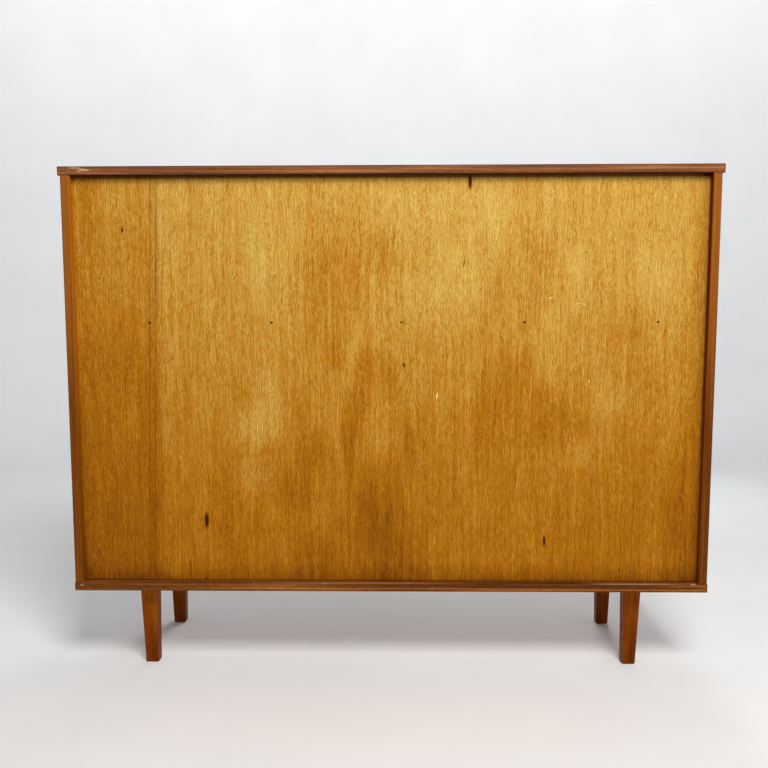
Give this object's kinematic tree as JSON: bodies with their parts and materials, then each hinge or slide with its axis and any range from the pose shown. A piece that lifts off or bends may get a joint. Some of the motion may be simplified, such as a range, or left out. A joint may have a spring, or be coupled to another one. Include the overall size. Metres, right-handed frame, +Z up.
{
  "type": "drinks display cabinet",
  "caption": "Free-standing teak display cabinet with sliding glass doors, a fall-flap drinks bay on a slotted stay and hinged cupboards below, on short tapered legs.",
  "frame": {"origin": "floor level, under the middle of the whole box, knobs included", "axes": "+Z up, the front faces -Y, +X to the right of someone facing the front"},
  "size_m": [1.22, 0.36, 0.96],
  "materials": {
    "teak": "satin varnish",
    "leg_wood": "stained and varnished",
    "back_ply": "clear varnish",
    "beech": "bare",
    "turned_teak": "oiled",
    "glass": "polished",
    "brass": "satin",
    "steel": "dull",
    "laminate": "satin",
    "track_plastic": "matt",
    "catch_plastic": "matt"
  },
  "bodies": {
    "carcass": {"top_board": "teak", "base_board": "teak", "left_side": "teak", "right_side": "teak", "middle_shelf": "teak", "upper_partition": "teak", "lower_partition": "teak", "back_panel": "back_ply", "back_panel_pins": "steel", "carcass_dowels": "beech", "front_left_leg": "leg_wood", "front_right_leg": "leg_wood", "back_left_leg": "leg_wood", "back_right_leg": "leg_wood", "leg_bolts": "steel", "leg_bushes": "brass", "lower_glass_track": "track_plastic", "upper_glass_track": "track_plastic", "flap_pivot_bushes": "brass", "bay_floor": "teak", "bay_floor_lining": "laminate", "stay_stud": "brass", "flap_catch": "catch_plastic", "loose_shelf": "teak", "shelf_pegs": "brass", "bottle_door_catch": "catch_plastic", "bottle_frame_leaves": "brass", "bottle_hinge_pins": "brass", "centre_door_catch": "catch_plastic", "centre_frame_leaves": "brass", "centre_hinge_pins": "brass", "right_door_catch": "catch_plastic", "right_frame_leaves": "brass", "right_hinge_pins": "brass"},
    "flap": {"flap_panel": "teak", "flap_lining": "laminate", "flap_pivot_pins": "brass", "stay_bracket": "brass", "stay_rivet": "brass", "flap_knob": "turned_teak", "flap_strike": "steel"},
    "stay": {"stay_arm": "brass"},
    "left_glass": {"left_glass_door": "glass"},
    "right_glass": {"right_glass_door": "glass"},
    "bottle_door": {"bottle_door": "teak", "bottle_door_leaves": "brass", "bottle_door_knob": "turned_teak", "bottle_door_strike": "steel"},
    "centre_door": {"centre_door": "teak", "centre_door_leaves": "brass", "centre_door_knob": "turned_teak", "centre_door_strike": "steel"},
    "right_door": {"right_door": "teak", "right_door_leaves": "brass", "right_door_knob": "turned_teak", "right_door_strike": "steel"}
  },
  "joints": [
    {"name": "flap_hinge", "type": "hinge", "parent": "carcass", "child": "flap", "pos_m": [0, -0.156, 0.6915], "axis": [1, 0, 0], "range_deg": [0, 90]},
    {"name": "stay_pivot", "type": "hinge", "parent": "flap", "child": "stay", "pos_m": [-0.589, -0.1378, 0.82022], "axis": [1, 0, 0], "range_deg": [-45, 0]},
    {"name": "bottle_door_hinge", "type": "hinge", "parent": "carcass", "child": "bottle_door", "pos_m": [-0.588, -0.1668, 0.176], "axis": [0, 0, -1], "range_deg": [0, 100]},
    {"name": "centre_door_hinge", "type": "hinge", "parent": "carcass", "child": "centre_door", "pos_m": [-0.188, -0.1668, 0.176], "axis": [0, 0, -1], "range_deg": [0, 100]},
    {"name": "right_door_hinge", "type": "hinge", "parent": "carcass", "child": "right_door", "pos_m": [0.588, -0.1668, 0.176], "axis": [0, 0, 1], "range_deg": [0, 100]},
    {"name": "left_glass_slide", "type": "slide", "parent": "carcass", "child": "left_glass", "axis": [1, 0, 0], "range_m": [0, 0.371]},
    {"name": "right_glass_slide", "type": "slide", "parent": "carcass", "child": "right_glass", "axis": [1, 0, 0], "range_m": [-0.371, 0]}
  ],
  "couplings": [
    {"joint": "stay_pivot", "follows": "flap_hinge", "ratio": -0.5}
  ]
}
